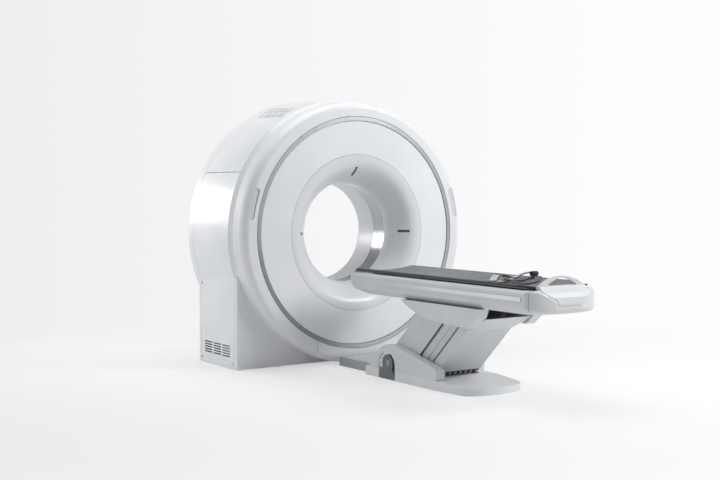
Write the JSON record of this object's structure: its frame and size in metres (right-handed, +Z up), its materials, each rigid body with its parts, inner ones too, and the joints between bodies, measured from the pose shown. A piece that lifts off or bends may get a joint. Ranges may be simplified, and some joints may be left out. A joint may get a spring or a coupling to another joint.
{
  "type": "ct scanner",
  "caption": "Upright ring gantry with a flared patient bore and a turning scan rotor, and a patient table with a slanting parallelogram lift and a sliding cradle.",
  "frame": {"origin": "on the floor, at the centre of the gantry's four anchor holes, below the bore axis", "axes": "+Y along the bore from the patient table to the rear of the gantry, +Z up, +X to the right seen from the table"},
  "size_m": [1.8919, 2.8915, 1.861],
  "materials": {
    "white_cover": "satin",
    "light_cover": "satin",
    "trim_silver": "satin",
    "bore_plastic": "gloss",
    "window_film": "gloss",
    "panel_dark": "gloss",
    "laser_glass": "gloss",
    "mesh_grey": "satin",
    "frame_steel": "matt",
    "cast_grey": "cast",
    "bearing_steel": "ground",
    "rotor_paint": "machined",
    "slip_gold": "gloss",
    "lead_grey": "cast",
    "black_plastic": "matt",
    "belt_rubber": "matt",
    "screw_steel": "zinc",
    "foot_black": "matt",
    "block_dark": "painted",
    "arm_grey": "satin",
    "beam_white": "painted",
    "rail_steel": "brushed",
    "carbon_shell": "satin",
    "slate_vinyl": "matt",
    "strap_grey": "woven"
  },
  "bodies": {
    "gantry": {"base_frame": "frame_steel", "levelling_feet": "screw_steel", "stator_ring": "cast_grey", "main_bearing_outer": "bearing_steel", "front_cover": "white_cover", "lower_front_cover": "white_cover", "trim_ring": "trim_silver", "front_disc": "light_cover", "front_funnel": "bore_plastic", "scan_window": "window_film", "bore_liner": "bore_plastic", "rear_funnel": "bore_plastic", "rear_cover": "white_cover", "side_cover_left": "white_cover", "side_cover_right": "white_cover", "top_cover": "white_cover", "exhaust_grilles": "mesh_grey", "cover_screws": "screw_steel", "control_panel_left": "panel_dark", "control_panel_right": "panel_dark", "laser_windows": "laser_glass", "brush_block": "black_plastic", "drive_motor": "cast_grey", "drive_belt": "belt_rubber", "power_unit": "arm_grey", "table_base": "white_cover", "floor_bridge": "light_cover", "base_cover_left": "light_cover", "base_cover_right": "light_cover", "pivot_blocks": "block_dark", "lift_gearmotor": "cast_grey"},
    "rotor": {"rotor_frame": "rotor_paint", "main_bearing_inner": "bearing_steel", "slip_ring": "slip_gold", "xray_tube": "cast_grey", "hv_generator": "arm_grey", "collimator": "lead_grey", "detector_arc": "rotor_paint", "rotor_counterweight": "lead_grey"},
    "drive_pulley": {"motor_pulley": "bearing_steel"},
    "left_fan": {"fan_left": "black_plastic"},
    "right_fan": {"fan_right": "black_plastic"},
    "front_linkage": {"front_arms": "arm_grey", "front_column_cover": "light_cover"},
    "rear_linkage": {"rear_arms": "arm_grey", "rear_column_cover": "light_cover", "foot_seal": "foot_black"},
    "first_slat": {"side_slat_a": "light_cover"},
    "second_slat": {"side_slat_b": "light_cover"},
    "table_top": {"beam": "beam_white", "side_rails": "rail_steel", "skirt": "light_cover", "passage_liner": "light_cover", "end_cap": "light_cover", "end_handle": "light_cover"},
    "sliding_cradle": {"cradle": "carbon_shell", "mattress": "slate_vinyl", "straps": "strap_grey"}
  },
  "joints": [
    {"name": "rotor_spin", "type": "hinge", "parent": "gantry", "child": "rotor", "pos_m": [0, 0, 0.915], "axis": [0, 1, 0], "continuous": true},
    {"name": "drive_pulley_spin", "type": "hinge", "parent": "gantry", "child": "drive_pulley", "pos_m": [0.64, 0, 0.275], "axis": [0, 1, 0], "continuous": true},
    {"name": "left_fan_spin", "type": "hinge", "parent": "gantry", "child": "left_fan", "pos_m": [-0.38746, 0.035, 1.72733], "axis": [-0.4305, 0, 0.9026], "continuous": true},
    {"name": "right_fan_spin", "type": "hinge", "parent": "gantry", "child": "right_fan", "pos_m": [0.38746, 0.035, 1.72733], "axis": [0.4305, 0, 0.9026], "continuous": true},
    {"name": "lift", "type": "hinge", "parent": "gantry", "child": "rear_linkage", "pos_m": [0, -1.44, 0.105], "axis": [-1, 0, 0], "range_deg": [-22, 26]},
    {"name": "front_arm_swing", "type": "hinge", "parent": "gantry", "child": "front_linkage", "pos_m": [0, -1.09, 0.105], "axis": [-1, 0, 0], "range_deg": [-22, 26]},
    {"name": "first_slat_swing", "type": "hinge", "parent": "gantry", "child": "first_slat", "pos_m": [0, -1.265, 0.105], "axis": [-1, 0, 0], "range_deg": [-22, 26]},
    {"name": "second_slat_swing", "type": "hinge", "parent": "gantry", "child": "second_slat", "pos_m": [0, -1.3875, 0.105], "axis": [-1, 0, 0], "range_deg": [-22, 26]},
    {"name": "table_level", "type": "hinge", "parent": "rear_linkage", "child": "table_top", "pos_m": [0, -1.85002, 0.50096], "axis": [-1, 0, 0], "range_deg": [-26, 22]},
    {"name": "cradle_slide", "type": "slide", "parent": "table_top", "child": "sliding_cradle", "axis": [0, 1, 0], "range_m": [0, 1.3]}
  ],
  "couplings": [
    {"joint": "drive_pulley_spin", "follows": "rotor_spin", "ratio": 16.556},
    {"joint": "front_arm_swing", "follows": "lift", "ratio": 1},
    {"joint": "first_slat_swing", "follows": "lift", "ratio": 1},
    {"joint": "second_slat_swing", "follows": "lift", "ratio": 1},
    {"joint": "table_level", "follows": "lift", "ratio": -1}
  ]
}
